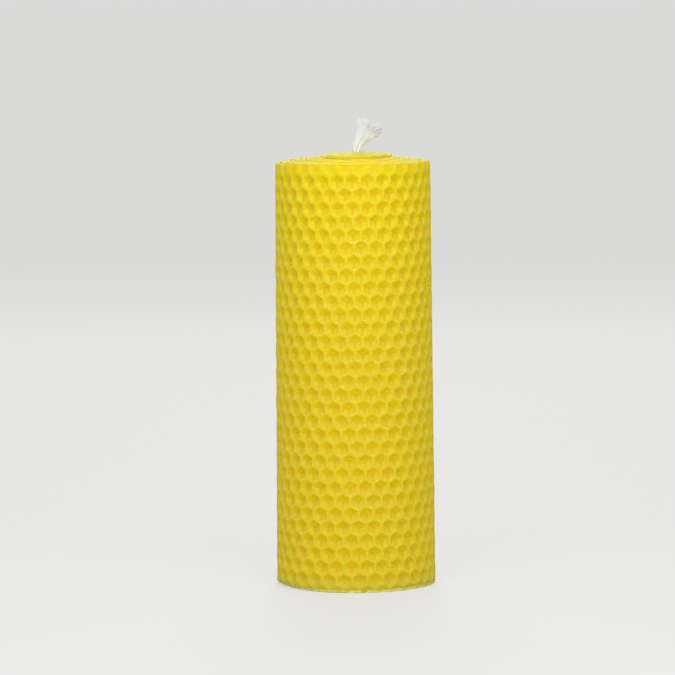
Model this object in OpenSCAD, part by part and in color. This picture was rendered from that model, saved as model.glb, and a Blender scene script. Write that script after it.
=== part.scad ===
// Pillar candle rolled from embossed beeswax sheets round a cotton wick.
// The sheets lie end to end along one flat spiral. The core stands proud of the rim in two steps.
// Millimetres, +Z up. The origin is on the floor, under the middle of the outline.

/* [Candle] */
// Height of every sheet, which is the height of the rim above the floor
sheet_h = 149.2; // [100:0.2:220]
// How far the first sheet, the core, stands proud of the rim
core_rise = 2.7; // [1.6:0.1:5]
// How far the second sheet, the step round the core, stands proud of the rim
step_rise = 1.1; // [0:0.05:1.5]
// How far the outer sheet stands off the roll at the foot, where it is looser
foot_flare = 0.75; // [0:0.05:1.5]

/* [Wax sheet] */
// Length of the first sheet, rolled round the wick
core_l = 307; // [200:1:410]
// Length of the second sheet
second_l = 410; // [300:1:450]
// Length of the third sheet
third_l = 410; // [300:1:450]
// Length of the outer sheet, a little more than one turn
outer_l = 188.5; // [184:0.5:220]
// Thickness of a sheet over its cell walls
sheet_t = 1.45; // [1.2:0.05:1.8]
// Thickness of the wax itself
wax_t = 0.85; // [0.5:0.05:1.1]
// Clear gap between neighbouring turns
turn_gap = 0.33; // [0.2:0.01:0.6]
// Clear gap where one sheet ends and the next begins
joint_gap = 0.3; // [0.1:0.05:1]
// Direction that the seam faces, with the front at 270
seam_turn = 89; // [0:1:359]

/* [Cells] */
// Width of a cell between two opposite walls, on the outside of the roll
cell_w = 5.35; // [4.8:0.05:6]
// Depth of a cell below the top of its walls
cell_depth = 1; // [0.4:0.05:1.1]
// Height of the lowest row's middle above the floor
first_row_h = 3.8; // [2:0.1:5]

/* [Wick] */
// Thickness of the wick
wick_w = 3.3; // [2:0.1:4.5]
// Clear gap between the wick and the first turn
wick_gap = 0.3; // [0.1:0.05:0.6]
// Height of the frayed end above the core
wick_free_h = 12; // [8:0.1:20]
// How far the frayed end reaches to the right
wick_reach = 9.4; // [5:0.1:14]

/* [Hidden] */
WAX = "#e6c23c";
COTTON = "#efe6d2";

// The sheets lie end to end, so where each begins and ends is a length run along the roll
core_end = core_l;
second_start = core_end + joint_gap;
second_end = second_start + second_l;
third_start = second_end + joint_gap;
third_end = third_start + third_l;
outer_start = third_end + joint_gap;
roll_end = outer_start + outer_l;

// The spiral that the middle of the wax follows. Its radius grows by one pitch in a turn.
pitch = sheet_t + turn_gap;
start_r = wick_w / 2 + wick_gap + wax_t / 2;
end_r = radius_at(roll_end);
eye = pitch / 4 * [sin(seam_turn) - cos(seam_turn), -cos(seam_turn) - sin(seam_turn)];

function run_at(r) = PI * (pow(r, 2) - pow(start_r, 2)) / pitch;
function radius_at(run) = sqrt(pow(start_r, 2) + run * pitch / PI);
function turn_at(run) = seam_turn + 360 * (end_r - radius_at(run)) / pitch;
function along(run, off) =
    let (r = radius_at(run) + off, a = turn_at(run)) eye + r * [cos(a), sin(a)];

rim_w = 2 * end_r - pitch + sheet_t;
echo(core_w = 2 * radius_at(core_end), step_w = 2 * radius_at(second_end));
echo(rim_w = rim_w, foot_w = rim_w + 2 * foot_flare);

// Near the wick the cells are pressed flat, and past the eye the wax folds to and fro cell by cell
eye_turns = 1.5;
eye_end = run_at(start_r + eye_turns * pitch);
eye_sides = 6;
fold = (sheet_t - wax_t) / 2;

function fold_share(run) = min(1, max(0, (radius_at(run) - radius_at(eye_end)) / pitch));
function wave_share(run) = 4 * abs(run / cell_w - floor(run / cell_w) - 1 / 2) - 1;
function mid_off(run) = fold * fold_share(run) * wave_share(run);

// A sheet's bends, which are close together in the eye and half a cell apart after it
function bends(from, to) = concat(
    [from],
    [for (n = [1 : ceil(eye_end * eye_sides / cell_w)])
        let (run = n * cell_w / eye_sides) if (run > from && run < min(to, eye_end)) run],
    [for (n = [ceil(2 * eye_end / cell_w) : floor(2 * to / cell_w)])
        let (run = n * cell_w / 2) if (run > from + joint_gap && run < to - joint_gap) run],
    [to]
);

function mix(a, b, share) = a + (b - a) * share;
function backwards(list) = [for (i = [len(list) - 1 : -1 : 0]) list[i]];

// A plain sheet of the roll, folded cell by cell and standing at height lift
module rolled_sheet(from, to, lift) {
    runs = bends(from, to);
    outside = [for (run = runs) along(run, mid_off(run) + wax_t / 2)];
    inside = [for (run = runs) along(run, mid_off(run) - wax_t / 2)];
    color(WAX) translate([0, 0, lift]) linear_extrude(height = sheet_h)
        polygon(concat(outside, backwards(inside)));
}

module core_sheet() {
    rolled_sheet(0, core_end, core_rise);
}

module second_sheet() {
    rolled_sheet(second_start, second_end, step_rise);
}

module third_sheet() {
    rolled_sheet(third_start, third_end, 0);
}

// The outer sheet's comb. Its points stand in columns half a cell apart, a cell's side above each
// other. In a column every third point is the bottom of a cell, and the two between are corners.
// Odd columns stand half a side higher and one point later.
cell_side = cell_w / sqrt(3);
edge_land = cell_side / 8;
// Alternate corners are lower than the walls, because three slanted lozenges make a cell's bottom
low_corner_share = 0.3;
lap_columns = 4;

// The outside is longer than the middle of the wax, which the runs are measured along
middle_r = end_r - pitch / 2;
column_step = cell_w / 2 * middle_r / (middle_r + sheet_t / 2);
turn_columns = ceil((roll_end - run_at(end_r - pitch)) / column_step) + 1;
comb_columns = min(turn_columns, floor(outer_l / column_step) - lap_columns);
function column_run(column) = roll_end - column * column_step;

function odd(column) = column % 2;
function corner(column, n) = let (k = n - odd(column)) k - 3 * floor(k / 3);
function point_depth(column, n) =
    corner(column, n) == 0 ? cell_depth : corner(column, n) == 1 ? 0 : cell_depth * low_corner_share;
function point_z(column, n) = first_row_h + cell_side * (n + odd(column) / 2);

lowest = ceil((edge_land - first_row_h) / cell_side);
function highest(column) =
    floor((sheet_h - edge_land - first_row_h) / cell_side - odd(column) / 2);

// Depth of the comb between two points of a column
function depth_at(column, z) =
    let (n = (z - first_row_h) / cell_side - odd(column) / 2, low = floor(n), part = n - low)
    point_depth(column, low) * (1 - part) + point_depth(column, low + 1) * part;

function column_heights(column) =
    concat([0], [for (n = [lowest : highest(column)]) point_z(column, n)], [sheet_h]);

// The outer sheet flares towards the foot
function flare(z) = foot_flare * (1 - z / sheet_h);
function on_sheet(run, off, z) =
    let (p = along(run, off + flare(z))) [p.x, p.y, z];

comb_points = [for (c = [0 : comb_columns])
    [for (z = column_heights(c)) on_sheet(column_run(c), sheet_t / 2 - depth_at(c, z), z)]];

// Two columns of the comb side by side, the even one first
function comb_strip(even, even_n, odd_one, odd_n) = concat(
    [for (i = [0 : even_n - 2]) [even + i, even + i + 1, odd_one + min(i, odd_n - 1)]],
    [for (i = [0 : odd_n - 2]) [odd_one + i, even + i + 1, odd_one + i + 1]]
);

function turned(faces) = [for (f = faces) [f[0], f[2], f[1]]];
function sums(list, i = 0, total = 0) =
    i == len(list) ? [total] : concat([total], sums(list, i + 1, total + list[i]));

module outer_sheet() {
    counts = [for (column = comb_points) len(column)];
    starts = sums(counts);
    last = comb_columns;
    plain_runs = [for (i = [1 : lap_columns]) mix(column_run(last), outer_start, i / lap_columns)];
    back_runs = concat([for (c = [0 : last]) column_run(c)], plain_runs);
    plain_off = sheet_t / 2 - cell_depth;
    ends = [0, sheet_h];
    plain = [for (run = plain_runs, z = ends) on_sheet(run, plain_off, z)];
    back = [for (run = back_runs, z = ends) on_sheet(run, -sheet_t / 2, z)];
    plain_at = starts[last + 1];
    back_at = plain_at + len(plain);
    lap_at = [for (i = [0 : lap_columns - 1]) plain_at + 2 * i];
    front_low = concat([for (c = [0 : last]) starts[c]], lap_at);
    front_high = concat([for (c = [0 : last]) starts[c + 1] - 1], [for (at = lap_at) at + 1]);
    comb = [for (c = [0 : last - 1]) each odd(c) == 0
        ? comb_strip(starts[c], counts[c], starts[c + 1], counts[c + 1])
        : turned(comb_strip(starts[c + 1], counts[c + 1], starts[c], counts[c]))];
    // The comb meets the plain lap in a fan, and so does the seam's cut end
    fan = concat(
        [for (i = [0 : counts[last] - 2]) [plain_at, starts[last] + i, starts[last] + i + 1]],
        [[plain_at, front_high[last], plain_at + 1]]
    );
    seam_end = concat(
        [for (i = [0 : counts[0] - 2]) [back_at, i + 1, i]],
        [[back_at, back_at + 1, counts[0] - 1]]
    );
    lap_face = [for (i = [last + 1 : last + lap_columns - 1])
        each [[front_low[i], front_high[i + 1], front_low[i + 1]],
              [front_low[i], front_high[i], front_high[i + 1]]]];
    back_face = [for (i = [0 : last + lap_columns - 1]) let (b = back_at + 2 * i)
        each [[b, b + 2, b + 3], [b, b + 3, b + 1]]];
    foot = [for (i = [0 : last + lap_columns - 1]) let (b = back_at + 2 * i)
        each [[front_low[i], front_low[i + 1], b + 2], [front_low[i], b + 2, b]]];
    rim = [for (i = [0 : last + lap_columns - 1]) let (b = back_at + 2 * i)
        each [[front_high[i], b + 3, front_high[i + 1]], [front_high[i], b + 1, b + 3]]];
    end_i = last + lap_columns;
    lap_end = [[front_low[end_i], front_high[end_i], back_at + 2 * end_i + 1],
               [front_low[end_i], back_at + 2 * end_i + 1, back_at + 2 * end_i]];
    color(WAX) polyhedron(
        points = concat([for (column = comb_points) each column], plain, back),
        faces = concat(comb, fan, seam_end, lap_face, back_face, foot, rim, lap_end)
    );
}

// The frayed end opens from a round wick into a flat fan whose locks end along a bowed line.
// Its outline is in shares of the reach to the right and of the free height above the core.
neck_left_share = [0.12, 0.38];
neck_right_share = [0.47, 0.33];
fray_left_share = [0.09, 0.96];
fray_bow_share = [1.08, 1];
fray_right_share = [0.92, 0.48];
lock_length_shares = [1, 0.97, 1.03, 0.95, 1.01, 0.97, 1.02, 0.96];
notch_length_share = 0.86;
neck_depth_share = 0.45;
lock_depth_share = 0.42;
notch_depth_share = 0.2;
crown_share = 0.8;
wick_sides = 32;
fray_rings = 8;
core_top = core_rise + sheet_h;

function bow(a, b, c, share) = mix(mix(a, b, share), mix(b, c, share), share);

// A point of the frayed end, from its place across the fan and towards the back
function free_point(place_share, depth) =
    [eye.x + wick_reach * place_share.x, eye.y + depth, core_top + wick_free_h * place_share.y];

// One side of the wick, followed from the core's top to the end of its lock or notch
function fray_point(side, share) = let (
        turn = 360 * side / wick_sides,
        across = (1 - cos(turn)) / 2,
        lock = side % 2 == 0,
        neck = mix(neck_left_share, neck_right_share, across),
        neck_middle = mix(neck_left_share, neck_right_share, 1 / 2),
        line = bow(fray_left_share, fray_bow_share, fray_right_share, across),
        reach = lock ? lock_length_shares[side / 2 % len(lock_length_shares)] : notch_length_share,
        tip = mix(neck_middle, line, reach),
        tip_depth = wick_w * (lock ? lock_depth_share : notch_depth_share)
    )
    bow(
        [eye.x - wick_w / 2 * cos(turn), eye.y + wick_w / 2 * sin(turn), core_top],
        free_point(neck, wick_w * neck_depth_share * sin(turn)),
        free_point(tip, tip_depth * sin(turn)),
        share
    );

module wick() {
    sides = [0 : wick_sides - 1];
    foot = [for (side = sides) let (p = fray_point(side, 0)) [p.x, p.y, core_rise]];
    free = [for (ring = [0 : fray_rings], side = sides) fray_point(side, ring / fray_rings)];
    neck_middle = mix(neck_left_share, neck_right_share, 1 / 2);
    end_middle = bow(fray_left_share, fray_bow_share, fray_right_share, 1 / 2);
    crown = free_point(mix(neck_middle, end_middle, crown_share), 0);
    end_at = (fray_rings + 1) * wick_sides;
    crown_at = end_at + wick_sides;
    walls = [for (ring = [0 : fray_rings], side = sides)
        let (at = ring * wick_sides, next = (side + 1) % wick_sides, up = at + wick_sides)
        each [[at + side, at + next, up + next], [at + side, up + next, up + side]]];
    sole = [[for (side = sides) wick_sides - 1 - side]];
    top = [for (side = sides) [end_at + side, end_at + (side + 1) % wick_sides, crown_at]];
    color(COTTON)
        polyhedron(points = concat(foot, free, [crown]), faces = concat(walls, sole, top));
}

wick();
core_sheet();
second_sheet();
third_sheet();
outer_sheet();
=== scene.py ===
# %% [markdown]
# # A pillar candle rolled from honeycomb wax sheets
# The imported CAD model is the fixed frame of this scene. Its five nodes are the wick and the four
# sheets of the roll. Here each of them gets the detail of the real thing: embossed cells, soft
# pressed rims, cotton fibres, and wax that lets a little light in. Lengths are in metres, and MM
# turns millimetres into them.

# %% Load the fixed frame
from math import atan2, cos, pi, radians, sin, sqrt
from random import Random
import bmesh
import bpy
from mathutils import Matrix, Vector


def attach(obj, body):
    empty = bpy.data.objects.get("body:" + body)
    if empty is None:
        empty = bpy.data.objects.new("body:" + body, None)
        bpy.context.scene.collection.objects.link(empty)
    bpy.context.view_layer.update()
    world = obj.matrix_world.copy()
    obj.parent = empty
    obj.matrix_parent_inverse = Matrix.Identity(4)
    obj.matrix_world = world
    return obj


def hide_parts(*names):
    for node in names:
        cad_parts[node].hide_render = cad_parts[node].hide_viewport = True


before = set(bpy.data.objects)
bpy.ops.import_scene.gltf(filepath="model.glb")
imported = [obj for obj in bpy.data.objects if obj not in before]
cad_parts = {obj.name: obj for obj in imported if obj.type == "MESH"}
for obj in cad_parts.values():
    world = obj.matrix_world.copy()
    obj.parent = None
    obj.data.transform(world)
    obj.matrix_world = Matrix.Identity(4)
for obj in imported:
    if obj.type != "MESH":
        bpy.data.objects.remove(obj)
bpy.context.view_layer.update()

MM = 0.001

# %% [markdown]
# ## Camera
# The photo was taken from a little under two metres away, from a little above the candle's top,
# through a long lens. Such a place can be guessed by eye, but the rows of cells then curve in
# another way than in the photo. So the place and the lens were fitted to the rows and to the
# outline. The camera is turned half a degree about its own axis, because the candle leans that
# much to the left in the photo.

# %% Camera
camera_place = (0, -1.7612, 0.2532)
camera_pan = radians(0.191)
camera_tilt = radians(-5.398)
camera_roll = radians(-0.53)

camera_data = bpy.data.cameras.new("candle_camera")
camera_data.sensor_width = 36
camera_data.lens = 268
camera = bpy.data.objects.new("candle_camera", camera_data)
bpy.context.scene.collection.objects.link(camera)
camera.location = camera_place
aim = Matrix.Rotation(camera_pan, 3, "Z") @ Matrix.Rotation(pi / 2 + camera_tilt, 3, "X")
camera.rotation_euler = (aim @ Matrix.Rotation(camera_roll, 3, "Z")).to_euler()
bpy.context.scene.camera = camera
bpy.context.scene.view_settings.view_transform = "Standard"
print("camera turned by", [round(angle, 4) for angle in camera.rotation_euler])

# %% [markdown]
# ## Floor and light
# A plain pale floor carries the candle. Two soft lamps stand at the left and right in front and
# shine down on it, which leaves the upper half of every cell in shade as in the photo, and a third
# one stands behind. One large lamp above would be simpler, but it would leave the sides of the
# candle too dark. The world fills the rest evenly. For the camera the floor is partly its own
# white, which keeps it pale far away from the lamps, and it still shows the candle's shadow.

# %% Floor
floor_size = 24
floor_colour = (0.5, 0.5, 0.49, 1)
floor_white = (0.97, 0.97, 0.96, 1)
floor_white_share = 0.6


def put_away():
    """Leaves edit mode and selects nothing"""
    if bpy.context.object and bpy.context.object.mode != "OBJECT":
        bpy.ops.object.mode_set(mode="OBJECT")
    bpy.ops.object.select_all(action="DESELECT")


put_away()
bpy.ops.mesh.primitive_plane_add(size=floor_size)
floor = bpy.context.object
floor.name = "floor"
floor_finish = bpy.data.materials.new("pale_floor")
floor_finish.use_nodes = True
floor.data.materials.append(floor_finish)
print("floor", floor_size, "m wide")

# %% Finish of the floor
tree = floor_finish.node_tree
shader = tree.nodes["Principled BSDF"]
shader.inputs["Base Color"].default_value = floor_colour
shader.inputs["Roughness"].default_value = 0.6
white = tree.nodes.new("ShaderNodeEmission")
white.inputs["Color"].default_value = floor_white
path = tree.nodes.new("ShaderNodeLightPath")
share = tree.nodes.new("ShaderNodeMath")
share.operation = "MULTIPLY"
share.inputs[1].default_value = floor_white_share
either = tree.nodes.new("ShaderNodeMixShader")
tree.links.new(path.outputs["Is Camera Ray"], share.inputs[0])
tree.links.new(share.outputs[0], either.inputs[0])
tree.links.new(shader.outputs[0], either.inputs[1])
tree.links.new(white.outputs[0], either.inputs[2])
tree.links.new(either.outputs[0], tree.nodes["Material Output"].inputs[0])
print("floor finish with", len(tree.nodes), "nodes")


# %% Lamps
def aimed_lamp(name, place, target, size, power):
    """A square soft lamp that faces a point"""
    lamp_data = bpy.data.lights.new(name, "AREA")
    lamp_data.size = size
    lamp_data.energy = power
    lamp = bpy.data.objects.new(name, lamp_data)
    bpy.context.scene.collection.objects.link(lamp)
    lamp.location = place
    lamp.rotation_euler = (Vector(target) - Vector(place)).to_track_quat("-Z", "Y").to_euler()
    print(name, "at", [round(value, 3) for value in place])


lamp_target = Vector((0, 0, 115 * MM))
# Degrees round the candle from the front and above the target, distance, size, power in watts
lamps = {"left_lamp": (-24, 36, 0.6, 0.36, 1.25), "right_lamp": (24, 36, 0.6, 0.36, 1.25),
         "back_lamp": (180, 35, 1.1, 0.6, 4)}
for name, (azimuth, elevation, away, size, power) in lamps.items():
    azimuth, elevation = radians(azimuth), radians(elevation)
    direction = Vector((sin(azimuth) * cos(elevation), -cos(azimuth) * cos(elevation),
                        sin(elevation)))
    aimed_lamp(name, lamp_target + direction * away, lamp_target, size, power)

# %% World
# The camera sees plain white, and the candle gets a weaker even light
fill_strength = 0.52

world = bpy.data.worlds.new("studio")
bpy.context.scene.world = world
world.use_nodes = True
sky = world.node_tree
for node in list(sky.nodes):
    sky.nodes.remove(node)
seen = sky.nodes.new("ShaderNodeBackground")
fill = sky.nodes.new("ShaderNodeBackground")
for light, strength in ((seen, 1), (fill, fill_strength)):
    light.inputs["Color"].default_value = (1, 1, 1, 1)
    light.inputs["Strength"].default_value = strength
path = sky.nodes.new("ShaderNodeLightPath")
plainly_seen = sky.nodes.new("ShaderNodeMath")
plainly_seen.operation = "MAXIMUM"
either = sky.nodes.new("ShaderNodeMixShader")
sky_out = sky.nodes.new("ShaderNodeOutputWorld")
sky.links.new(path.outputs["Is Camera Ray"], plainly_seen.inputs[0])
sky.links.new(path.outputs["Is Transmission Ray"], plainly_seen.inputs[1])
sky.links.new(plainly_seen.outputs[0], either.inputs[0])
sky.links.new(fill.outputs[0], either.inputs[1])
sky.links.new(seen.outputs[0], either.inputs[2])
sky.links.new(either.outputs[0], sky_out.inputs["Surface"])
print("world fills with a strength of", fill_strength)

# %% [markdown]
# ## The spiral
# The candle is one long strip of wax, rolled up. Rings inside each other would look alike from
# afar, but not at the seam, at the steps of the top and in the middle. So the four sheets lie end
# to end along one flat spiral, as in the CAD model, whose sizes are repeated here. Each sheet is
# modelled flat, as it is when it is bought: x is the length run along the roll from the wick, z is
# the height, and +y is the side that ends outside. A Curve modifier then rolls it up along this
# path. Seen from above the roll runs clockwise.

# %% Sizes of the roll
sheet_h = 149.2 * MM
sheet_t = 1.45 * MM
wax_t = 0.85 * MM
pitch = 1.78 * MM
joint = 0.3 * MM
wick_w = 3.3 * MM
wick_gap = 0.3 * MM
seam_turn = radians(89)
lengths = {"core_sheet": 307 * MM, "second_sheet": 410 * MM, "third_sheet": 410 * MM,
           "outer_sheet": 188.5 * MM}
lifts = {"core_sheet": 2.7 * MM, "second_sheet": 1.1 * MM, "third_sheet": 0, "outer_sheet": 0}

spans = {}
run = 0
for name, length in lengths.items():
    spans[name] = (run, run + length)
    run += length + joint
roll_end = run - joint
start_r = wick_w / 2 + wick_gap + wax_t / 2
print("a roll of", round(roll_end / MM, 1), "mm")


# %% Places on the spiral
def radius_at(run):
    return sqrt(start_r ** 2 + run * pitch / pi)


def turn_at(run):
    return seam_turn + 2 * pi * (end_r - radius_at(run)) / pitch


end_r = radius_at(roll_end)
# The eye of the spiral lies a little beside the middle of the roll's outline
eye = Vector((sin(seam_turn) - cos(seam_turn), -cos(seam_turn) - sin(seam_turn), 0)) * pitch / 4
# The roll's last 170 mm pass the front where the sine of their turn is lowest
last_turn = [roll_end - step * MM for step in range(170)]
front_run = min((sin(turn_at(run)), run) for run in last_turn)[1]
print("radius", round(end_r / MM, 2), "mm, front at run", round(front_run / MM, 1))

# %% The path
points_a_turn = 120
steps = int((end_r - start_r) / pitch * points_a_turn)
path_data = bpy.data.curves.new("roll_path", "CURVE")
path_data.dimensions = "3D"
path_data.twist_mode = "Z_UP"
path_data.use_deform_bounds = False
line = path_data.splines.new("POLY")
line.points.add(steps)
for step in range(steps + 1):
    radius = start_r + (end_r - start_r) * step / steps
    angle = seam_turn + 2 * pi * (end_r - radius) / pitch
    line.points[step].co = (eye.x + radius * cos(angle), eye.y + radius * sin(angle), 0, 1)
path_curve = bpy.data.objects.new("roll_path", path_data)
bpy.context.scene.collection.objects.link(path_curve)
print("path with", steps + 1, "points")

# %% [markdown]
# ## One cell
# Rolling sheets are embossed like the comb that bees build. A cell is a six-sided pit with a point
# up, and three slanted lozenges make its bottom, so that it is deepest in the middle. A bump map
# could draw this, but the rims, the outline and the light in the pits need real depth. So one cell
# is modelled and repeated: a six-sided face is inset three times, for the rounded top of the wall
# and for its side, its middle is poked and sunk, and every other corner of the bottom is left
# higher. The folds of the bottom are marked sharp and the rest is smooth.

# %% Selecting by place
def choose(piece, kind, test):
    """Selects the vertices, edges or faces of the edited piece that pass a test"""
    bpy.ops.mesh.select_mode(type=kind)
    bpy.ops.mesh.select_all(action="DESELECT")
    shape = bmesh.from_edit_mesh(piece.data)
    parts = {"VERT": shape.verts, "EDGE": shape.edges, "FACE": shape.faces}[kind]
    found = [part for part in parts if test(part)]
    for part in found:
        part.select = True
    shape.select_flush_mode()
    bmesh.update_edit_mesh(piece.data)
    return len(found)


# %% The wall of a cell
side = 5.35 * MM / sqrt(3)
across = 5.245 * MM
# How far each inset goes in, and the height that it ends at, from the top of the wall inwards
wall_insets = [(0.24 * MM, -0.02 * MM), (0.19 * MM, -0.06 * MM), (0.34 * MM, -0.18 * MM)]

put_away()
bpy.ops.mesh.primitive_circle_add(vertices=6, radius=side, fill_type="NGON",
                                  rotation=(-pi / 2, 0, 0))
cell = bpy.context.object
cell.name = "cell"
bpy.ops.object.transform_apply(rotation=True)
bpy.ops.object.mode_set(mode="EDIT")
bpy.ops.mesh.select_all(action="SELECT")
bpy.ops.transform.resize(value=(across / (side * sqrt(3)), 1, 1), center_override=(0, 0, 0))
wall_foot = 0
for inset, y in wall_insets:
    bpy.ops.mesh.inset(thickness=inset, depth=0)
    bpy.ops.transform.translate(value=(0, y - wall_foot, 0))
    wall_foot = y
bpy.ops.mesh.poke()
print("a cell", round(across / MM, 2), "mm wide with", len(wall_insets), "rings in its wall")

# %% The bottom of a cell
apex_y = -0.8 * MM
apex_up = 0.45 * MM
low_corner_y = -0.65 * MM
high_corner_y = -0.22 * MM
apex_reach = 0.6 * MM
beside = 0.3 * MM
nearly = 0.01 * MM


def is_low_corner(co):
    return (abs(co.x) < beside and co.z < 0) or (abs(co.x) > beside and co.z > 0)


def on_bottom(vertex):
    return abs(vertex.co.y - wall_foot) < nearly


def is_apex(vertex):
    return vertex.co.xz.length < apex_reach


def is_fold(edge):
    a, b = edge.verts
    return (is_apex(a) or is_apex(b)) and is_low_corner((b if is_apex(a) else a).co)


choose(cell, "VERT", is_apex)
bpy.ops.transform.translate(value=(0, apex_y - wall_foot, apex_up))
choose(cell, "VERT", lambda v: on_bottom(v) and is_low_corner(v.co))
bpy.ops.transform.translate(value=(0, low_corner_y - wall_foot, 0))
choose(cell, "VERT", lambda v: on_bottom(v) and not is_low_corner(v.co))
bpy.ops.transform.translate(value=(0, high_corner_y - wall_foot, 0))
print(choose(cell, "EDGE", is_fold), "sharp folds in a cell,", len(cell.data.polygons), "faces")
bpy.ops.mesh.mark_sharp()
bpy.ops.mesh.select_all(action="SELECT")
bpy.ops.mesh.faces_shade_smooth()

# %% Its neighbour
# Rows of cells lie half a cell apart, so the repeating unit is two cells.
bpy.ops.mesh.duplicate()
bpy.ops.transform.translate(value=(across / 2, 0, 1.5 * side))
bpy.ops.mesh.select_all(action="SELECT")
bpy.ops.mesh.remove_doubles(threshold=nearly)
put_away()
print("the unit of two cells has", len(cell.data.vertices), "vertices")

# %% [markdown]
# ## A sheet of comb
# On the real sheet a roller embosses thousands of cells. Two arrays repeat the unit up and along,
# which gives each sheet its own mesh in one piece. The real comb doesn't run quite straight in its
# sheet: the rows rise to the right by half a degree, so the field of cells is turned a little
# before it is trimmed with four cuts. The sheet gets its back by extruding the whole face, first
# far back so that the two faces are easy to tell apart while the rims are pressed, and then to its
# place. A Solidify modifier would be quicker, but it makes the back as deep as the front, and the
# back of a real sheet is flatter.

# %% Repeating and trimming
first_row = 4.25 * MM
row_step = 3 * side
comb_lean = radians(0.55)
spare = 4 * MM
cut_width = 0.001 * MM


def grow(piece, count, offset):
    """Repeats a piece by an offset and joins the copies"""
    modifier = piece.modifiers.new("repeat", "ARRAY")
    modifier.count = count
    modifier.use_relative_offset = False
    modifier.use_constant_offset = True
    modifier.constant_offset_displace = offset
    modifier.use_merge_vertices = True
    modifier.merge_threshold = 0.02 * MM
    bpy.ops.object.modifier_apply(modifier="repeat")


def trim(at, outward):
    """Cuts off all that lies outward of a place"""
    bpy.ops.mesh.select_all(action="SELECT")
    bpy.ops.mesh.bisect(plane_co=at, plane_no=outward, clear_outer=True, threshold=cut_width)


def groove(height):
    """Adds a line of points at a height"""
    bpy.ops.mesh.select_all(action="SELECT")
    bpy.ops.mesh.bisect(plane_co=(0, 0, height), plane_no=(0, 0, 1), threshold=cut_width)


# %% A field of comb
def comb_field(name, bottom):
    """A flat field of cells from a height up to the rim"""
    first, last = spans[name]
    pivot = front_run if first < front_run < last else (first + last) / 2
    put_away()
    sheet = cell.copy()
    sheet.data = cell.data.copy()
    sheet.name = name + "_wax"
    bpy.context.scene.collection.objects.link(sheet)
    sheet.select_set(True)
    bpy.context.view_layer.objects.active = sheet
    pairs_below = int((first_row - bottom + spare) / row_step) + 1
    if bottom > first_row:
        pairs_below = -int((bottom - first_row - spare) / row_step)
    low = first_row - pairs_below * row_step
    columns = int((last - first) / across) + 4
    grow(sheet, int((sheet_h + spare - low) / row_step) + 1, (0, 0, row_step))
    grow(sheet, columns, (across, 0, 0))
    bpy.ops.object.mode_set(mode="EDIT")
    bpy.ops.mesh.select_all(action="SELECT")
    # A column stands at the front, where the photo has one
    shift = front_run - int((front_run - first) / across + 2) * across
    bpy.ops.transform.translate(value=(shift, 0, low))
    bpy.ops.transform.rotate(value=-comb_lean, orient_axis="Y",
                             center_override=(pivot, 0, sheet_h / 2))
    trim((first, 0, 0), (-1, 0, 0))
    trim((last, 0, 0), (1, 0, 0))
    trim((0, 0, bottom), (0, 0, -1))
    trim((0, 0, sheet_h), (0, 0, 1))
    bpy.ops.mesh.select_all(action="SELECT")
    bpy.ops.mesh.remove_doubles(threshold=0.004 * MM)
    return sheet


outer = comb_field("outer_sheet", 0)
put_away()
corners = [[round(pick(v.co[i] for v in outer.data.vertices) / MM, 2) for i in range(3)]
           for pick in (min, max)]
print("outer sheet:", len(outer.data.polygons), "faces, flat field in mm", corners)

# %% [markdown]
# ## Rims, back and roll
# A warm knife has left the rim soft: the cells fade over the last four millimetres, the corner is
# rounded, and the cut end is smeared so wide that the turns nearly close at the top. The foot is a
# little softer too. A bevel would round the corner, but it can't fade the cells, so lines of points
# near the rim are pressed flat and moved, each by its own share. Small uneven pressings of the
# whole sheet come from Displace modifiers with a cloud texture, and the free end of the outer sheet
# is pressed on to the roll. The sheet is then tipped by about 0.3 degrees, which gives the roll its
# wider foot, and the Curve modifier rolls it up.

# %% Pressing a rim
far_back = -6 * MM
front_y = -3 * MM
press_y = -0.1 * MM
back_share = 0.62
back_y = -0.96 * MM


def press(piece, low, high, relief, inward):
    """Flattens the cells between two heights and moves them inward"""
    choose(piece, "VERT", lambda v: v.co.y > front_y and low <= v.co.z <= high)
    bpy.ops.transform.resize(value=(1, relief, 1), center_override=(0, press_y, 0))
    bpy.ops.transform.translate(value=(0, -inward, 0))


def swell(piece, low, high, relief, outward):
    """Smears the back between two heights towards the turn behind it"""
    choose(piece, "VERT", lambda v: v.co.y < front_y and low <= v.co.z <= high)
    bpy.ops.transform.resize(value=(1, relief, 1), center_override=(0, far_back + apex_y, 0))
    bpy.ops.transform.translate(value=(0, -outward, 0))


def work_rim(piece, tool, steps):
    """Presses or swells a rim step by step, with depths below the rim and moves in mm"""
    for deep, shallow, relief, move in steps:
        tool(piece, sheet_h - deep * MM, sheet_h - shallow * MM, relief, move * MM)


# %% The back of a sheet
def give_back(piece):
    """Extrudes the face far back, so that front and back are easy to tell apart"""
    bpy.ops.mesh.select_all(action="SELECT")
    bpy.ops.mesh.extrude_region_move(TRANSFORM_OT_translate={"value": (0, far_back, 0)})


def place_back(piece):
    """Brings the back to its place, where it follows the cells less deeply"""
    choose(piece, "VERT", lambda v: v.co.y < front_y)
    bpy.ops.transform.resize(value=(1, back_share, 1), center_override=(0, far_back, 0))
    bpy.ops.transform.translate(value=(0, back_y - far_back, 0))
    bpy.ops.mesh.select_all(action="SELECT")
    bpy.ops.mesh.normals_make_consistent(inside=False)


# %% Uneven pressing
def clouds(name, grain):
    texture = bpy.data.textures.new(name, "CLOUDS")
    texture.noise_scale = grain
    texture.noise_depth = 1
    return texture


def unevenness(piece, texture, direction, amount):
    """Pushes a piece to and fro along one axis by a cloud texture"""
    modifier = piece.modifiers.new("press", "DISPLACE")
    modifier.texture = texture
    modifier.texture_coords = "LOCAL"
    modifier.direction = direction
    modifier.mid_level = 0.5
    modifier.strength = amount
    bpy.ops.object.modifier_apply(modifier="press")


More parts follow.
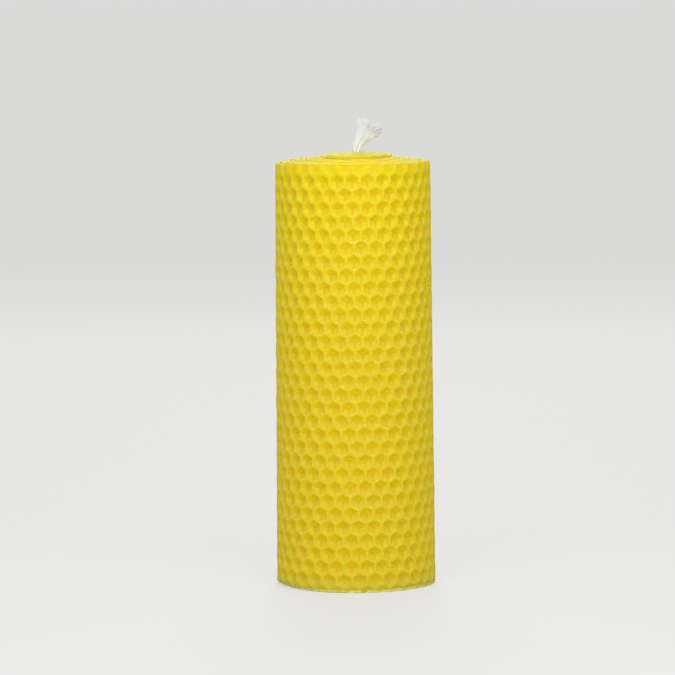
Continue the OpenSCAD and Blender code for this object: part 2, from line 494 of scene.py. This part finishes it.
hand = clouds("hand_pressure", 9 * MM)
thumb = clouds("thumb_pressure", 3.1 * MM)
slip = clouds("slip", 5.3 * MM)
print("textures:", [texture.name for texture in (hand, thumb, slip)])


# %% Keeping the depth, and rolling up
def remember_depth(piece):
    """Keeps how deep each point lies below the top of the walls, for the wax finish"""
    depth = piece.data.attributes.new("pit", "FLOAT", "POINT")
    for vertex in piece.data.vertices:
        depth.data[vertex.index].value = min(1, max(0, vertex.co.y / apex_y))


def stand_level(piece):
    """Brings all that lies below the floor up to it"""
    choose(piece, "VERT", lambda v: v.co.z < 0)
    bpy.ops.transform.resize(value=(1, 1, 0), center_override=(0, 0, 0))


def roll_up(piece):
    modifier = piece.modifiers.new("roll", "CURVE")
    modifier.object = path_curve
    modifier.deform_axis = "POS_X"
    bpy.ops.object.modifier_apply(modifier="roll")


# %% The rim and the foot of the outer sheet
# From and to in mm below the rim, the share of the relief that stays, and the move in mm
outer_presses = [(4.2, 3.2, 0.8, 0), (3.2, 1.85, 0.55, 0), (1.85, 0.95, 0.5, 0.04),
                 (0.95, 0.4, 0.5, 0.14), (0.4, 0.1, 0.3, 0.36), (0.1, -1, 0.25, 0.8)]
outer_swells = [(1.85, 0.4, 0.5, 0.1), (0.4, -1, 0.2, 0.55)]
outer_foot_presses = [(0.55, 1.3, 0.75), (0.1, 0.55, 0.55), (-1, 0.1, 0.5)]

put_away()
outer.select_set(True)
bpy.context.view_layer.objects.active = outer
bpy.ops.object.mode_set(mode="EDIT")
for height in (0.5 * MM, 1.2 * MM):
    groove(height)
for depth in (0.35 * MM, 0.9 * MM, 1.8 * MM):
    groove(sheet_h - depth)
give_back(outer)
work_rim(outer, press, outer_presses)
work_rim(outer, swell, outer_swells)
for low, high, relief in outer_foot_presses:
    press(outer, low * MM, high * MM, relief, 0)
place_back(outer)
put_away()
print("outer sheet with its rims:", len(outer.data.polygons), "faces")

# %% The outer sheet is rolled up
free_end_in = 0.36 * MM
free_end_reach = 12 * MM
foot_tip = radians(0.29)

outer.select_set(True)
remember_depth(outer)
unevenness(outer, hand, "Y", 0.16 * MM)
unevenness(outer, thumb, "Y", 0.16 * MM)
unevenness(outer, thumb, "X", 0.45 * MM)
unevenness(outer, slip, "Z", 0.45 * MM)
bpy.ops.object.mode_set(mode="EDIT")
choose(outer, "VERT", lambda v: v.co.x > roll_end - 0.5 * MM)
bpy.ops.transform.translate(value=(0, -free_end_in, 0), use_proportional_edit=True,
                            proportional_edit_falloff="SMOOTH",
                            proportional_size=free_end_reach)
bpy.ops.mesh.select_all(action="SELECT")
bpy.ops.transform.translate(value=(0, sheet_t / 2, 0))
bpy.ops.transform.rotate(value=-foot_tip, orient_axis="X", center_override=(0, 0, sheet_h))
stand_level(outer)
put_away()
outer.select_set(True)
roll_up(outer)
corners = [[round(pick(v.co[i] for v in outer.data.vertices) / MM, 2) for i in range(3)]
           for pick in (min, max)]
print("outer sheet rolled up:", corners, len(outer.data.vertices), "vertices")

# %% [markdown]
# ## The three inner sheets
# They are the same comb, but only their upper ends can be seen. Cells down to the foot would cost
# hundreds of thousands of faces that nobody sees, so the cells are modelled down to eight
# millimetres below the rim, and the section of the comb is extruded from there to the foot. Every
# sheet climbs a little towards the wick, as a roll does when it slips under the hand, and the core
# stands out of the candle as the highest step.

# %% Top and foot of an inner sheet
comb_h = 8 * MM
long_edge = 0.9 * MM
fine_depth = 1.35
# From and to in mm below the rim, the share of the relief that stays, and the move in mm
inner_presses = [(0.65, 0.3, 0.22, 0), (0.3, 0.1, 0.2, 0.02), (0.1, -1, 0.2, 0.1)]
inner_swells = [(fine_depth, 0.65, 0.5, 0.15), (0.65, 0.1, 0.15, 0.55), (0.1, -1, 0.2, 0.45)]


def inner_comb(name, relief):
    """A flat sheet with cells near its rim and their section from there to the foot"""
    sheet = comb_field(name, sheet_h - comb_h)
    for depth in (0.25 * MM, 0.6 * MM, 1.3 * MM):
        groove(sheet_h - depth)
    # The small turns need more points than the cells have, so long edges near the rim are halved
    choose(sheet, "EDGE", lambda e: e.calc_length() > long_edge
           and min(v.co.z for v in e.verts) > sheet_h - fine_depth * MM)
    bpy.ops.mesh.subdivide(number_cuts=1)
    low = sheet_h - comb_h + nearly
    choose(sheet, "EDGE", lambda e: e.is_boundary and max(v.co.z for v in e.verts) < low)
    bpy.ops.mesh.extrude_region_move(TRANSFORM_OT_translate={"value": (0, 0, comb_h - sheet_h)})
    give_back(sheet)
    work_rim(sheet, press, [(3.4, fine_depth, relief, 0), (fine_depth, 0.65, relief * 0.75, 0)])
    work_rim(sheet, press, inner_presses)
    work_rim(sheet, swell, inner_swells)
    place_back(sheet)
    put_away()
    return sheet


# %% The inner sheets are rolled up
def inner_sheet(name, rise, climb, relief):
    """A sheet whose rim climbs from its outer to its inner end"""
    first, last = spans[name]
    sheet = inner_comb(name, relief)
    sheet.select_set(True)
    remember_depth(sheet)
    unevenness(sheet, hand, "Z", 0.6 * MM)
    unevenness(sheet, slip, "Z", 0.3 * MM)
    unevenness(sheet, slip, "Y", 0.18 * MM)
    bpy.ops.object.mode_set(mode="EDIT")
    bpy.ops.mesh.select_all(action="SELECT")
    bpy.ops.transform.translate(value=(0, sheet_t / 2, lifts[name] + rise))
    bpy.ops.transform.rotate(value=-climb / (last - first), orient_axis="Y",
                             center_override=((first + last) / 2, 0, sheet_h))
    stand_level(sheet)
    put_away()
    sheet.select_set(True)
    roll_up(sheet)
    top = max(v.co.z for v in sheet.data.vertices)
    print(name, len(sheet.data.vertices), "vertices, rim up to", round(top / MM, 2), "mm")
    return sheet


core = inner_sheet("core_sheet", -0.35 * MM, 0.3 * MM, 0.36)
second = inner_sheet("second_sheet", -0.2 * MM, 0.8 * MM, 0.6)
third = inner_sheet("third_sheet", 0.2 * MM, 0.4 * MM, 0.6)

# %% [markdown]
# The first turns stand up round the wick as a small lip. The wick leans on them and has pushed them
# to the right. At its left the core has slipped down a little, so its shoulder slopes there. Moving
# these points alone would crease the thin wax, so proportional editing spreads each move over the
# turns beside it.

# %% Pulling at a roll
def pull(piece, test, offset, reach, falloff):
    """Moves the points that pass a test, and those within reach of them by less and less"""
    put_away()
    piece.select_set(True)
    bpy.context.view_layer.objects.active = piece
    bpy.ops.object.mode_set(mode="EDIT")
    found = choose(piece, "VERT", test)
    bpy.ops.transform.translate(value=[part * MM for part in offset], use_proportional_edit=True,
                                proportional_edit_falloff=falloff, proportional_size=reach)
    put_away()
    print(piece.name, "pulled at", found, "points")


def is_core_top(vertex):
    return vertex.co.z > sheet_h + 0.9 * MM


lip_r = 4.3 * MM
pull(core, lambda v: is_core_top(v) and (v.co.xy - eye.xy).length < lip_r, (0.85, 0, 0.4),
     5 * MM, "SMOOTH")
pull(core, lambda v: is_core_top(v) and v.co.x < -11.5 * MM, (0, 0, -0.75), 7 * MM, "SMOOTH")
pull(core, lambda v: is_core_top(v) and v.co.x > 12.5 * MM, (0.9, 0, -0.25), 4 * MM, "SMOOTH")

# %% [markdown]
# The roll isn't cut quite square. At the left the foot of the two outer sheets hangs just clear of
# the floor, which is the dark gap of the photo, and the rim sinks there a little. Tilting the whole
# candle would do that too, but it would lean then, so only the points near the foot and the rim are
# moved.

# %% A foot and a rim that aren't square
foot_edge = 0.3 * MM
rim_edge = sheet_h - 0.5 * MM
pull(outer, lambda v: v.co.z < foot_edge and v.co.x < -26 * MM, (0, 0, 0.85), 24 * MM, "LINEAR")
pull(third, lambda v: v.co.z < foot_edge and v.co.x < -23 * MM, (0, 0, 0.6), 20 * MM, "LINEAR")
pull(outer, lambda v: v.co.z > rim_edge and v.co.x < -24.5 * MM, (0, 0, -0.6), 9 * MM, "SMOOTH")

# %% [markdown]
# ## The wick
# A thick cotton wick is a bundle of soft yarns. It stands upright in the roll, leans to the right
# as it leaves it and opens into a flat fan of fibres with a ragged edge. A hair system would make
# such a fan quickly, but its strands have no mesh of their own. So its closed body is a fluted ring
# that is extruded, widened and turned from line to line across the fan, and its fibres are curves
# with a round section that lie on the body and end past it. The yarns inside the roll are curves
# too.

# %% Lines across the fan
# Left and right end of each line, seen from the front, in mm from the candle's middle and floor
fan_lines = [((-0.95, 148.6), (2.0, 148.6)), ((-0.2, 151.6), (2.95, 151.6)),
             ((0.2, 153.9), (3.7, 153.4)), ((0.9, 156.4), (4.75, 155.3)),
             ((2.15, 159.2), (6.9, 156.7)), ((2.3, 161.4), (8.2, 157.6))]
# The body ends at one line more, and the fibres at the edge of the fan
body_end = [((2.8, 162.1), (9.1, 158.7))]
thicknesses = [2.9, 3.0, 3.0, 2.8, 2.6, 2.3, 1.8]
fan_edge = [(2.1, 163.1), (2.9, 163.7), (3.9, 163.7), (4.9, 163.3), (5.4, 162.4), (6.2, 162.9),
            (7.2, 162.4), (8.1, 161.7), (9.1, 161.9), (10.1, 161.1), (10.5, 160.0), (10.0, 159.0),
            (9.1, 157.9), (8.2, 157.2)]

# %% The section of the body
# A ring of radius one millimetre gets twelve flutes and two deeper folds between three lobes
ring_points = 48
flute_step = 4
flute_share = 0.87
lobe_folds = (-0.16, 0.5)
fold_reach = 0.07
fold_share = 0.6

put_away()
bpy.ops.mesh.primitive_circle_add(vertices=ring_points, radius=MM)
body = bpy.context.object
body.name = "wick_body"
bpy.ops.object.mode_set(mode="EDIT")
choose(body, "VERT", lambda v: v.index % flute_step == 0)
bpy.ops.transform.resize(value=(flute_share, flute_share, 1), center_override=(0, 0, 0))
choose(body, "VERT", lambda v: min(abs(v.co.x / MM - fold) for fold in lobe_folds) < fold_reach)
bpy.ops.transform.resize(value=(1, fold_share, 1), center_override=(0, 0, 0))
bpy.ops.mesh.select_all(action="SELECT")
# A little narrower than the lines, so that the fibres lie on it
bpy.ops.transform.resize(value=(0.94, 0.92, 1), center_override=(0, 0, 0))
print("section of the wick with", ring_points // flute_step, "flutes")

# %% The body
middle = Vector((0, 0, 0))
wide, thick, slope = MM, MM, 0
for number, (((x0, z0), (x1, z1)), thickness) in enumerate(zip(fan_lines + body_end, thicknesses)):
    place = Vector(((x0 + x1) / 2 * MM, eye.y, (z0 + z1) / 2 * MM))
    new_wide = sqrt((x1 - x0) ** 2 + (z1 - z0) ** 2) / 2 * MM
    new_slope = atan2(z0 - z1, x1 - x0)
    if number > 0:
        bpy.ops.mesh.extrude_region_move(TRANSFORM_OT_translate={"value": place - middle})
    else:
        bpy.ops.transform.translate(value=place - middle)
    bpy.ops.transform.rotate(value=slope, orient_axis="Y", center_override=place)
    bpy.ops.transform.resize(value=(new_wide / wide, thickness * MM / 2 / thick, 1),
                             center_override=place)
    bpy.ops.transform.rotate(value=-new_slope, orient_axis="Y", center_override=place)
    middle, wide, thick, slope = place, new_wide, thickness * MM / 2, new_slope
# The upper end is closed and rounded a little, and the lower end is closed flat
bpy.ops.mesh.edge_face_add()
bpy.ops.mesh.inset(thickness=0.25 * MM, depth=0.2 * MM)
choose(body, "EDGE", lambda e: e.is_boundary)
bpy.ops.mesh.edge_face_add()
bpy.ops.mesh.select_all(action="SELECT")
bpy.ops.mesh.normals_make_consistent(inside=False)
bpy.ops.mesh.faces_shade_smooth()
# On a fluted fan the operator can turn everything inwards, which a negative volume shows
if bmesh.from_edit_mesh(body.data).calc_volume(signed=True) < 0:
    bpy.ops.mesh.flip_normals()
put_away()
print("body of the wick:", len(body.data.polygons), "faces, top at",
      round(max(v.co.z for v in body.data.vertices) / MM, 2), "mm")


# %% Fibre paths
def on_polyline(points, share):
    place = share * (len(points) - 1)
    index = min(int(place), len(points) - 2)
    part = place - index
    a, b = points[index], points[index + 1]
    return a[0] + (b[0] - a[0]) * part, a[1] + (b[1] - a[1]) * part


def smooth_through(points, share):
    """A point of the smooth curve through all the points"""
    place = share * (len(points) - 1)
    index = min(int(place), len(points) - 2)
    t = place - index
    a, b = points[index], points[index + 1]
    before = points[index - 1] if index > 0 else a * 2 - b
    after = points[index + 2] if index + 2 < len(points) else b * 2 - a
    return (a * 2 + (b - before) * t + (before * 2 - a * 5 + b * 4 - after) * t * t
            + (a * 3 - before - b * 3 + after) * t * t * t) / 2


def fibre_guide(u, depth, reach):
    """The points that one fibre follows, from its place across and through the bundle"""
    guide = []
    for line, thickness in zip(fan_lines, thicknesses):
        (x0, z0), (x1, z1) = line
        guide.append(Vector((x0 + (x1 - x0) * u, eye.y / MM + thickness / 2 * depth,
                             z0 + (z1 - z0) * u)))
    x, z = on_polyline(fan_edge, u)
    tip = Vector((x, eye.y / MM + depth, z))
    guide.append(guide[-1] + (tip - guide[-1]) * reach)
    return guide


# %% Curves and meshes of fibres
def fibre_curve(name, half_thickness, resolution):
    data = bpy.data.curves.new(name, "CURVE")
    data.dimensions = "3D"
    data.bevel_depth = half_thickness
    data.bevel_resolution = resolution
    data.use_fill_caps = True
    thing = bpy.data.objects.new(name, data)
    bpy.context.scene.collection.objects.link(thing)
    return thing


def add_fibre(thing, points, thin_end):
    """Adds a strand through points in mm, which gets thinner towards its end"""
    strand = thing.data.splines.new("POLY")
    strand.points.add(len(points) - 1)
    for index, point in enumerate(points):
        strand.points[index].co = (*(point * MM), 1)
        strand.points[index].radius = 1 - (1 - thin_end) * index / (len(points) - 1)


def make_mesh(thing):
    """Makes a curve a mesh and closes the ends of its strands"""
    put_away()
    thing.select_set(True)
    bpy.context.view_layer.objects.active = thing
    bpy.ops.object.convert(target="MESH")
    thing = bpy.context.object
    bpy.ops.object.mode_set(mode="EDIT")
    bpy.ops.mesh.select_all(action="SELECT")
    bpy.ops.mesh.remove_doubles(threshold=0.0002 * MM)
    bpy.ops.mesh.normals_make_consistent(inside=False)
    bpy.ops.mesh.faces_shade_smooth()
    put_away()
    return thing


# %% Fibres
# Three fibres of five lie on the body and the others inside it. Their length changes from lock to
# lock along the fan's edge, and their tone in streaks.
fibres = 1700
fibre_points = 12
fibre_half_thickness = 0.055 * MM
# How far a fibre strays at each point of its guide, in mm
strays = (0.02, 0.02, 0.02, 0.02, 0.04, 0.07, 0.13)
chance = Random(7)


def jitter(amount):
    return Vector((chance.gauss(0, amount), chance.gauss(0, amount), chance.gauss(0, amount)))


tones = [fibre_curve("wick_fibres_" + tone, fibre_half_thickness, 0)
         for tone in ("grey", "cream", "white")]
shares = [0.1 + 0.9 * step / (fibre_points - 1) for step in range(fibre_points)]
for number in range(fibres):
    around = pi * (number + chance.random()) / fibres
    u, edge = (1 - cos(around)) / 2, sin(around)
    fold = min(abs(2 * u - 1 - fold) for fold in lobe_folds)
    face = chance.choice((-1, 1)) * chance.uniform(0.82, 1.04) * (0.62 if fold < 0.05 else 1)
    if number % 5 < 2:
        face = chance.uniform(-0.8, 0.8)
    lock = sin(u * 61) * 0.5 + sin(u * 23 + 1) * 0.5
    guide = fibre_guide(u, face * edge, 0.93 + 0.15 * lock + chance.uniform(-0.16, 0.12))
    for index, amount in enumerate(strays):
        guide[index] += jitter(amount)
    streak = sin(u * 57) + 0.9 * sin(u * 118 + 2) + chance.gauss(0, 0.6)
    # Fibres in the folds between the lobes take the grey tone, which is painted shade; elsewhere
    # the tone changes in streaks
    tone = tones[0 if streak < -1 or fold < 0.04 else 1 if streak < 0.2 else 2]
    add_fibre(tone, [smooth_through(guide, share) for share in shares], 0.6)
print("fibres in each tone:", [len(tone.data.splines) for tone in tones])

# %% Stray fibres
# A few fibres curl away from the fan and from the neck and get thin towards their ends
stray_fibres = 46
stray_points = 10
stray_places = (0.0, 0.03, 0.3, 0.5, 0.75, 0.98)

shares = [step / (stray_points - 1) for step in range(stray_points)]
for number in range(stray_fibres):
    u = chance.choice(stray_places)
    guide = fibre_guide(u, chance.uniform(-0.5, 0.5), chance.uniform(1.0, 1.25))
    start = chance.uniform(0.25, 0.75)
    points = [smooth_through(guide, start + (1 - start) * share) for share in shares]
    away = Vector((chance.uniform(-1.1, -0.2) if u < 0.4 else chance.uniform(0.1, 0.9),
                   chance.uniform(-0.5, 0.5), chance.uniform(-0.7, 0.4)))
    curl = jitter(0.35)
    for point, share in zip(points, shares):
        point += away * share * share + curl * sin(3.2 * share)
    add_fibre(tones[2], points[:chance.randint(6, stray_points)], 0.3)
tones = [make_mesh(tone) for tone in tones]
print("fibres:", [len(tone.data.polygons) for tone in tones], "faces")

# %% Yarns inside the roll
# One yarn in the middle and two rings round it, which wind in opposite ways. A ring is given by
# its number of yarns, its radius in mm and its way round.
yarn_half_thickness = 0.42 * MM
yarn_rings = [(1, 0, 1), (6, 0.588, 1), (12, 1.148, -1)]
yarn_turn = 9
yarn_points = 34
yarn_low, yarn_h = 2.9, 146.6

yarns = fibre_curve("wick_yarns", yarn_half_thickness, 2)
for count, ring, way in yarn_rings:
    for number in range(count):
        points = []
        for step in range(yarn_points):
            share = step / (yarn_points - 1)
            angle = 2 * pi * number / count + yarn_turn * share * way
            points.append(Vector((eye.x / MM + ring * cos(angle), eye.y / MM + ring * sin(angle),
                                  yarn_low + yarn_h * share)))
        add_fibre(yarns, points, 1)
yarns = make_mesh(yarns)
print("yarns:", len(yarns.data.polygons), "faces")

# %% [markdown]
# ## Finishes
# Beeswax is never one yellow. The tops of the walls are paler, partly from a little bloom and
# partly as a painted highlight where they catch the light, and the pits are warmer, partly at
# random and partly as painted light that has passed through the wax there. A painted picture would
# need every turn laid out flat and would look soft close up. So the colour is worked out in the
# finish itself, from the depth that was kept on each sheet, from how far a face looks up, from its
# height above the floor and from mottling, and several of its layers are painted light and shade.
# The cotton has fine streaks. Both finishes use the same group for mottling.

# %% Mottling group
mottle = bpy.data.node_groups.new("mottling", "ShaderNodeTree")
mottle.interface.new_socket("Scale", in_out="INPUT", socket_type="NodeSocketFloat")
mottle.interface.new_socket("Low", in_out="INPUT", socket_type="NodeSocketFloat")
mottle.interface.new_socket("High", in_out="INPUT", socket_type="NodeSocketFloat")
mottle.interface.new_socket("Mask", in_out="OUTPUT", socket_type="NodeSocketFloat")
group_in = mottle.nodes.new("NodeGroupInput")
group_out = mottle.nodes.new("NodeGroupOutput")
spot = mottle.nodes.new("ShaderNodeTexCoord")
cloud = mottle.nodes.new("ShaderNodeTexNoise")
cloud.inputs["Detail"].default_value = 3
spread = mottle.nodes.new("ShaderNodeMapRange")
mottle.links.new(spot.outputs["Object"], cloud.inputs["Vector"])
mottle.links.new(group_in.outputs["Scale"], cloud.inputs["Scale"])
mottle.links.new(cloud.outputs["Fac"], spread.inputs["Value"])
mottle.links.new(group_in.outputs["Low"], spread.inputs["From Min"])
mottle.links.new(group_in.outputs["High"], spread.inputs["From Max"])
mottle.links.new(spread.outputs["Result"], group_out.inputs["Mask"])
print("mottling group:", len(mottle.nodes), "nodes")

# %% Node helpers
# Places of the sockets for colours on a mix node, which has others of the same names
mix_share, mix_one, mix_other, mix_result = 0, 6, 7, 2


def mask_of(tree, scale, low, high):
    """Mottling of a scale, drawn out between two values of the noise"""
    group = tree.nodes.new("ShaderNodeGroup")
    group.node_tree = mottle
    group.inputs["Scale"].default_value = scale
    group.inputs["Low"].default_value = low
    group.inputs["High"].default_value = high
    return group.outputs["Mask"]


def blend_of(tree, share, one, other):
    """Mixes two colours, each a socket or a plain colour, by a share"""
    mix = tree.nodes.new("ShaderNodeMix")
    mix.data_type = "RGBA"
    tree.links.new(share, mix.inputs[mix_share])
    for socket, value in ((mix.inputs[mix_one], one), (mix.inputs[mix_other], other)):
        if isinstance(value, tuple):
            socket.default_value = (*value, 1)
        else:
            tree.links.new(value, socket)
    return mix.outputs[mix_result]


def math_of(tree, operation, one, other):
    """Joins two values, the second a socket or a number"""
    node = tree.nodes.new("ShaderNodeMath")
    node.operation = operation
    tree.links.new(one, node.inputs[0])
    if isinstance(other, float):
        node.inputs[1].default_value = other
    else:
        tree.links.new(other, node.inputs[1])
    return node.outputs[0]


def range_of(tree, value, low, high):
    """A share that goes from 0 at one value to 1 at the other, which may be the lower one"""
    node = tree.nodes.new("ShaderNodeMapRange")
    node.inputs["From Min"].default_value = low
    node.inputs["From Max"].default_value = high
    tree.links.new(value, node.inputs["Value"])
    return node.outputs["Result"]

# %% [markdown]
# ### Beeswax
# Inside a cell the faces that look down lie in shade, and they are painted brighter and warmer than
# the sides, as painted light that has come through the wax. They are called the cap here. The
# deepest part under them, which the photo shows as a short dark stroke, is called the stem, and its
# darker colour is painted shade. Faces that look up are paler, partly dusty and partly as a painted
# sheen of the lamps. Towards the rim the wax is painted brighter, as painted light from the lamps
# above, and just above the foot it is painted darker, as painted shade, with a pale ragged line at
# the foot itself as a painted highlight. One layer is blended over the other, from the widest to
# the smallest, because each can then be set against the photo by itself.

# %% What leads the wax colour
wax = bpy.data.materials.new("beeswax")
wax.use_nodes = True
tree = wax.node_tree
shader = tree.nodes["Principled BSDF"]
pit = tree.nodes.new("ShaderNodeAttribute")
pit.attribute_name = "pit"
# 0 on the top of a wall and 1 in the deepest point of a cell
depth_share = pit.outputs["Fac"]
facing = tree.nodes.new("ShaderNodeTexCoord")
upward = tree.nodes.new("ShaderNodeSeparateXYZ")
tree.links.new(facing.outputs["Normal"], upward.inputs[0])
spot = tree.nodes.new("ShaderNodeSeparateXYZ")
tree.links.new(facing.outputs["Object"], spot.inputs[0])
# How far a face looks up, from -1 to 1, and its height above the floor in metres
rise, level = upward.outputs["Z"], spot.outputs["Z"]
print("the wax colour is led by", pit.attribute_name, "and", len(tree.nodes), "nodes so far")

# %% Walls, sides, dust with painted sheen, and painted light towards the rim
wall_colour = (0.83, 0.65, 0.018)
side_colour = (0.84, 0.655, 0.010)
dust_and_sheen_colour = (0.79, 0.62, 0.036)
upper_light_colour = (0.89, 0.715, 0.002)

colour = blend_of(tree, range_of(tree, depth_share, 0.05, 0.3), wall_colour, side_colour)
# Faces that look up are paler: partly dusty wax, partly a painted sheen where the lamps catch them
dust_and_sheen = math_of(tree, "MULTIPLY", range_of(tree, rise, -0.08, 0.12),
               range_of(tree, depth_share, 0.25, 0.5))
colour = blend_of(tree, dust_and_sheen, colour, dust_and_sheen_colour)
# Painted light: the wax is painted brighter and more yellow towards the rim, as if it were nearer
# the lamps
upper_light = math_of(tree, "MULTIPLY", range_of(tree, level, 80 * MM, 148 * MM), 0.7)
colour = blend_of(tree, upper_light, colour, upper_light_colour)
print("walls, sides and dust:", len(tree.nodes), "nodes so far")

# %% Caps and stems
cap_edge_glow_colour = (1.0, 0.80, 0.003)
cap_glow_colour = (0.98, 0.70, 0.002)
stem_shade_colour = (0.77, 0.545, 0.002)
warm_colour = (0.84, 0.52, 0.004)

# Painted light: the caps, faces that look down into shade, are painted brighter and warmer than the
# sides, most where they are shallow, as if lit by light coming through the wax
cap = math_of(tree, "MULTIPLY", range_of(tree, rise, -0.04, -0.16),
              range_of(tree, depth_share, 0.05, 0.25))
cap_tone = blend_of(tree, range_of(tree, depth_share, 0.3, 0.6), cap_edge_glow_colour, cap_glow_colour)
colour = blend_of(tree, cap, colour, cap_tone)
# Painted shade: the deep fold under each cap is painted darker
stem_shade = math_of(tree, "MULTIPLY", range_of(tree, rise, -0.15, 0.0),
               range_of(tree, depth_share, 0.66, 0.84))
colour = blend_of(tree, stem_shade, colour, stem_shade_colour)
# Some cells are a little warmer than their neighbours
warm = math_of(tree, "MULTIPLY", mask_of(tree, 420, 0.56, 0.74), depth_share)
colour = blend_of(tree, math_of(tree, "MULTIPLY", warm, 0.5), colour, warm_colour)
print("caps and stems:", len(tree.nodes), "nodes so far")

# %% Steps, cut tops and ridges, with painted shade on the tops and a painted highlight on the ridges
# The steps are the parts of the inner sheets that stand above the rim of the outer one
riser_colour = (0.80, 0.68, 0.045)
top_colour = (0.58, 0.52, 0.055)
ridge_highlight_colour = (0.96, 0.76, 0.075)

riser = range_of(tree, level, 149.5 * MM, 150.4 * MM)
colour = blend_of(tree, riser, colour, riser_colour)
# Faces that look up, the cut tops, get a darker and less yellow colour: partly the matte cut wax,
# partly painted shade that holds back the lamps shining down on them
colour = blend_of(tree, range_of(tree, rise, 0.85, 0.99), colour, top_colour)
# Painted highlight, with a little bloom: a thin pale line along the top of every wall
ridge_highlight = range_of(tree, depth_share, 0.017, 0.003)
colour = blend_of(tree, math_of(tree, "MULTIPLY", ridge_highlight, 0.7), colour, ridge_highlight_colour)
print("steps, tops and ridges:", len(tree.nodes), "nodes so far")

# %% Foot shade and highlight, bloom with painted glints, and crumbs
foot_shade_colour = (0.64, 0.56, 0.05)
foot_highlight_colour = (0.96, 0.86, 0.22)
bloom_and_glint_colour = (0.98, 0.92, 0.42)
crumb_colour = (0.16, 0.10, 0.02)

# Painted shade: the wax is painted darker over the lowest six millimetres
foot_shade = math_of(tree, "MULTIPLY", range_of(tree, level, 6 * MM, 1 * MM), 0.75)
colour = blend_of(tree, foot_shade, colour, foot_shade_colour)
# Painted highlight: a pale ragged line along the lowest millimetre of the foot, where its edge
# catches the light
foot = math_of(tree, "MULTIPLY", range_of(tree, level, 1.2 * MM, 0.5 * MM),
               mask_of(tree, 700, 0.36, 0.48))
colour = blend_of(tree, foot, colour, foot_highlight_colour)
# Painted glints, with a little bloom, sit in small spots on the tops of the walls, and not where
# they look down
bloom_and_glint = math_of(tree, "MULTIPLY", mask_of(tree, 950, 0.61, 0.66),
                range_of(tree, depth_share, 0.25, 0))
bloom_and_glint = math_of(tree, "MULTIPLY", bloom_and_glint, range_of(tree, rise, -0.1, 0.2))
colour = blend_of(tree, math_of(tree, "MULTIPLY", bloom_and_glint, 0.8), colour, bloom_and_glint_colour)
colour = blend_of(tree, mask_of(tree, 620, 0.745, 0.77), colour, crumb_colour)
tree.links.new(colour, shader.inputs["Base Color"])
print("whole wax colour:", len(tree.nodes), "nodes")

# %% Surface of the wax
# Satin, with a fine grain and some light that goes in and comes out again nearby
rough = math_of(tree, "MULTIPLY", mask_of(tree, 900, 0.35, 0.7), 0.22)
tree.links.new(math_of(tree, "ADD", rough, 0.36), shader.inputs["Roughness"])
shader.inputs["IOR"].default_value = 1.44
shader.inputs["Specular IOR Level"].default_value = 0.18
shader.inputs["Subsurface Weight"].default_value = 0.6
shader.inputs["Subsurface Radius"].default_value = (1.0, 0.6, 0.1)
shader.inputs["Subsurface Scale"].default_value = 0.6 * MM
grain = tree.nodes.new("ShaderNodeTexNoise")
grain.inputs["Scale"].default_value = 2200
grain.inputs["Detail"].default_value = 2
tree.links.new(facing.outputs["Object"], grain.inputs["Vector"])
bump = tree.nodes.new("ShaderNodeBump")
bump.inputs["Strength"].default_value = 0.25
bump.inputs["Distance"].default_value = 0.1 * MM
tree.links.new(grain.outputs["Fac"], bump.inputs["Height"])
tree.links.new(bump.outputs["Normal"], shader.inputs["Normal"])
print("finish", wax.name, "with", len(tree.nodes), "nodes")

# %% [markdown]
# ### Cotton
# The cotton is nearly white in the light, and the fibres in the folds of the fan get a greyer tone,
# which is painted shade. The fan is also a little duller towards its cut end. One white for all
# would look like plastic, so three tones have streaks of their own. Soft fibres catch light at
# their edges, for which the finish has a sheen. Light that goes through the fibres was left out,
# because on such thin strands it only darkens them.

# %% Cotton
def cotton_finish(name, light, dark, end_tone):
    """Cotton with fine streaks between two colours, and a third towards the cut end of the fan"""
    finish = bpy.data.materials.new(name)
    finish.use_nodes = True
    tree = finish.node_tree
    shader = tree.nodes["Principled BSDF"]
    spot = tree.nodes.new("ShaderNodeTexCoord")
    along = tree.nodes.new("ShaderNodeSeparateXYZ")
    tree.links.new(spot.outputs["Object"], along.inputs[0])
    cut_end = range_of(tree, along.outputs["Z"], 157.5 * MM, 160.5 * MM)
    colour = blend_of(tree, mask_of(tree, 1500, 0.4, 0.65), dark, light)
    colour = blend_of(tree, cut_end, colour, end_tone)
    tree.links.new(colour, shader.inputs["Base Color"])
    shader.inputs["Roughness"].default_value = 0.85
    shader.inputs["Sheen Weight"].default_value = 0.6
    shader.inputs["Sheen Roughness"].default_value = 0.5
    print("finish", name, "with", len(tree.nodes), "nodes")
    return finish


cotton_grey = cotton_finish("cotton_in_shade", (0.93, 0.95, 0.93), (0.81, 0.82, 0.79),
                            (0.78, 0.79, 0.76))
cotton_cream = cotton_finish("cotton_cream", (0.98, 1, 1), (0.96, 0.98, 0.98), (0.95, 0.97, 0.95))
cotton_white = cotton_finish("cotton_white", (0.99, 1, 1), (0.98, 0.99, 1), (0.98, 0.99, 1))

# %% [markdown]
# ## Each piece in its place
# The candle is one body, on which every piece rides. Each piece stands for its node of the CAD
# model and names its finish. The wick's node has five pieces: its body, three tones of fibres and
# its yarns. The cell that the comb was made of and the path of the spiral have done their work.

# %% Pieces and nodes
sheets = [(core, "core_sheet"), (second, "second_sheet"), (third, "third_sheet"),
          (outer, "outer_sheet")]
wick_parts = [(body, cotton_cream), (tones[0], cotton_grey), (tones[1], cotton_cream),
              (tones[2], cotton_white), (yarns, cotton_cream)]


def hand_over(piece, node, finish):
    """Gives a piece its one finish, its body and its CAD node"""
    piece.data.materials.clear()
    piece.data.materials.append(finish)
    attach(piece, "root")
    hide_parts(node)
    print(piece.name, "stands for", node, "in", finish.name)


for piece, node in sheets:
    hand_over(piece, node, wax)
for piece, finish in wick_parts:
    hand_over(piece, "wick", finish)
put_away()
bpy.data.objects.remove(cell)
bpy.data.objects.remove(path_curve)
